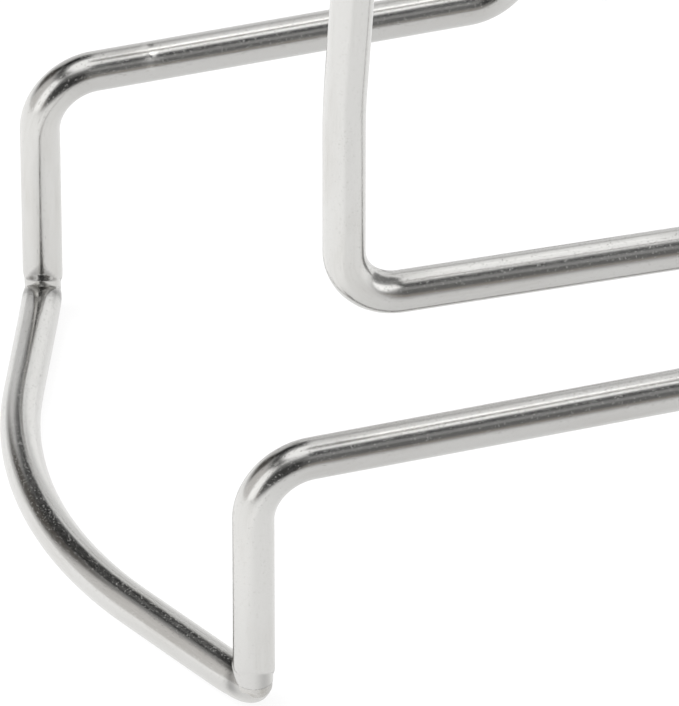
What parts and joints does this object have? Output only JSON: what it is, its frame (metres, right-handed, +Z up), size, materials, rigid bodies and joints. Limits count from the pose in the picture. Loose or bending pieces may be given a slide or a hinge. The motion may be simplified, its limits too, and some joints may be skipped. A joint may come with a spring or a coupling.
{
  "type": "drip bag holder",
  "caption": "Bent and welded wire stand that rests on a cup's rim and holds a paper coffee drip bag open between its raised bars.",
  "frame": {"origin": "on the surface below the centre of the holder, as it stands on its two cup arcs", "axes": "+Z up, +X to the right along the bars and rails, -Y towards the front wire"},
  "size_m": [0.0976, 0.063, 0.072],
  "materials": {
    "wire_steel": "bright drawn stainless wire, polished",
    "weld_steel": "dull stainless weld metal"
  },
  "bodies": {
    "root": {"front_wire": "wire_steel", "back_wire": "wire_steel", "left_cup_arc": "wire_steel", "right_cup_arc": "wire_steel", "hairpin_tacks": "weld_steel"}
  },
  "joints": []
}
